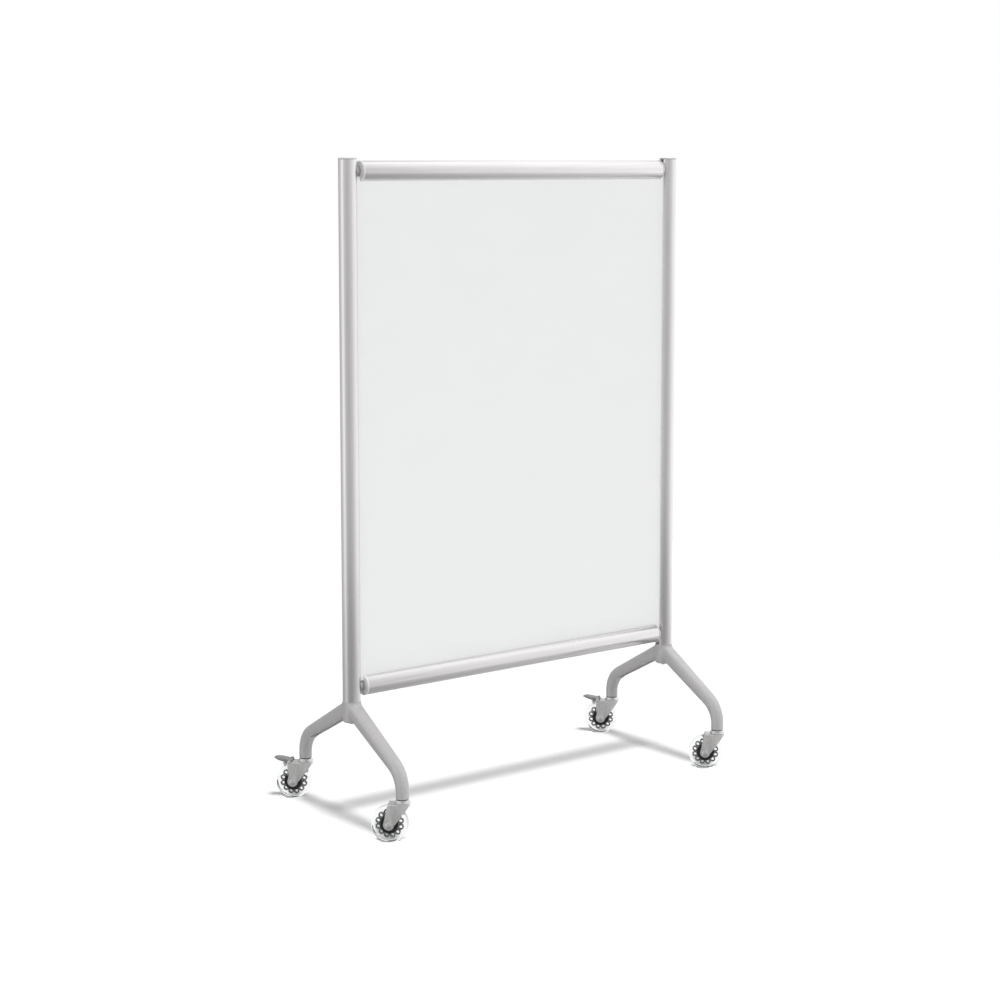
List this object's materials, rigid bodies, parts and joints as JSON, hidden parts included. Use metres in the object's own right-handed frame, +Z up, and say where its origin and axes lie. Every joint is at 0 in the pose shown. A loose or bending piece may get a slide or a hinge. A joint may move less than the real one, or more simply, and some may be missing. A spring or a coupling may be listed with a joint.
{
  "type": "rolling whiteboard",
  "caption": "Two-sided rolling whiteboard: flat white panel in a round-tube frame on arched bases with swivel casters and foot brakes.",
  "frame": {"origin": "on the floor, at the centre of the object's own box", "axes": "+Z up, -Y out of the front writing surface, +X to the right as seen from the front"},
  "size_m": [0.9363, 0.4425, 1.372],
  "materials": {
    "frame": "satin anodised, fine lengthwise grain",
    "post_cap": "satin light grey",
    "rail_end_cap": "satin light grey",
    "connector": "polished",
    "writing_surface": "glossy white dry-erase enamel",
    "panel_core": "raw board",
    "base": "satin grey metallic powder coat",
    "fastener": "zinc plated",
    "socket": "satin black",
    "caster_steel": "zinc plated, satin",
    "pin_steel": "zinc plated",
    "wheel_core": "satin black nylon",
    "tyre": "clear glossy polyurethane",
    "pedal": "dark grey satin"
  },
  "bodies": {
    "root": {"bottom_rail": "frame", "bottom_rail_left_connector": "connector", "bottom_rail_left_end_cap": "rail_end_cap", "bottom_rail_right_connector": "connector", "bottom_rail_right_end_cap": "rail_end_cap", "front_writing_surface": "writing_surface", "left_base": "base", "left_base_bolt": "fastener", "left_front_caster_socket": "socket", "left_front_caster_stem": "pin_steel", "left_front_swivel_head": "caster_steel", "left_post": "frame", "left_post_cap": "post_cap", "left_post_plug": "fastener", "left_rear_caster_socket": "socket", "left_rear_caster_stem": "pin_steel", "left_rear_swivel_head": "caster_steel", "panel_core": "panel_core", "rear_writing_surface": "writing_surface", "right_base": "base", "right_base_bolt": "fastener", "right_front_caster_socket": "socket", "right_front_caster_stem": "pin_steel", "right_front_swivel_head": "caster_steel", "right_post": "frame", "right_post_cap": "post_cap", "right_post_plug": "fastener", "right_rear_caster_socket": "socket", "right_rear_caster_stem": "pin_steel", "right_rear_swivel_head": "caster_steel", "top_rail": "frame", "top_rail_left_connector": "connector", "top_rail_left_end_cap": "rail_end_cap", "top_rail_right_connector": "connector", "top_rail_right_end_cap": "rail_end_cap"},
    "left_front_swivel": {"left_front_axle": "pin_steel", "left_front_fork": "caster_steel"},
    "left_front_wheel": {"left_front_tyre": "tyre", "left_front_wheel_bush": "pin_steel", "left_front_wheel_core": "wheel_core"},
    "left_rear_swivel": {"left_rear_axle": "pin_steel", "left_rear_fork": "caster_steel", "left_rear_pedal_pin": "pin_steel"},
    "left_rear_wheel": {"left_rear_tyre": "tyre", "left_rear_wheel_bush": "pin_steel", "left_rear_wheel_core": "wheel_core"},
    "right_front_swivel": {"right_front_axle": "pin_steel", "right_front_fork": "caster_steel"},
    "right_front_wheel": {"right_front_tyre": "tyre", "right_front_wheel_bush": "pin_steel", "right_front_wheel_core": "wheel_core"},
    "right_rear_swivel": {"right_rear_axle": "pin_steel", "right_rear_fork": "caster_steel", "right_rear_pedal_pin": "pin_steel"},
    "right_rear_wheel": {"right_rear_tyre": "tyre", "right_rear_wheel_bush": "pin_steel", "right_rear_wheel_core": "wheel_core"},
    "left_rear_pedal": {"left_rear_brake_pedal": "pedal"},
    "right_rear_pedal": {"right_rear_brake_pedal": "pedal"}
  },
  "joints": [
    {"name": "left_front_swivel", "type": "hinge", "parent": "root", "child": "left_front_swivel", "pos_m": [-0.41178, -0.20256, 0.085], "axis": [0, 0, 1], "continuous": true},
    {"name": "left_front_wheel_spin", "type": "hinge", "parent": "left_front_swivel", "child": "left_front_wheel", "pos_m": [-0.43048, -0.1845, 0.0375], "axis": [-0.6947, -0.7193, 0], "continuous": true},
    {"name": "left_rear_swivel", "type": "hinge", "parent": "root", "child": "left_rear_swivel", "pos_m": [-0.41178, 0.16744, 0.085], "axis": [0, 0, 1], "continuous": true},
    {"name": "left_rear_wheel_spin", "type": "hinge", "parent": "left_rear_swivel", "child": "left_rear_wheel", "pos_m": [-0.43048, 0.1855, 0.0375], "axis": [-0.6947, -0.7193, 0], "continuous": true},
    {"name": "right_front_swivel", "type": "hinge", "parent": "root", "child": "right_front_swivel", "pos_m": [0.44822, -0.20256, 0.085], "axis": [0, 0, 1], "continuous": true},
    {"name": "right_front_wheel_spin", "type": "hinge", "parent": "right_front_swivel", "child": "right_front_wheel", "pos_m": [0.42952, -0.1845, 0.0375], "axis": [-0.6947, -0.7193, 0], "continuous": true},
    {"name": "right_rear_swivel", "type": "hinge", "parent": "root", "child": "right_rear_swivel", "pos_m": [0.44822, 0.16744, 0.085], "axis": [0, 0, 1], "continuous": true},
    {"name": "right_rear_wheel_spin", "type": "hinge", "parent": "right_rear_swivel", "child": "right_rear_wheel", "pos_m": [0.42952, 0.1855, 0.0375], "axis": [-0.6947, -0.7193, 0], "continuous": true},
    {"name": "left_rear_brake", "type": "hinge", "parent": "left_rear_swivel", "child": "left_rear_pedal", "pos_m": [-0.43552, 0.19037, 0.08], "axis": [-0.6947, -0.7193, 0], "range_deg": [0, 14]},
    {"name": "right_rear_brake", "type": "hinge", "parent": "right_rear_swivel", "child": "right_rear_pedal", "pos_m": [0.42448, 0.19037, 0.08], "axis": [-0.6947, -0.7193, 0], "range_deg": [0, 14]}
  ]
}
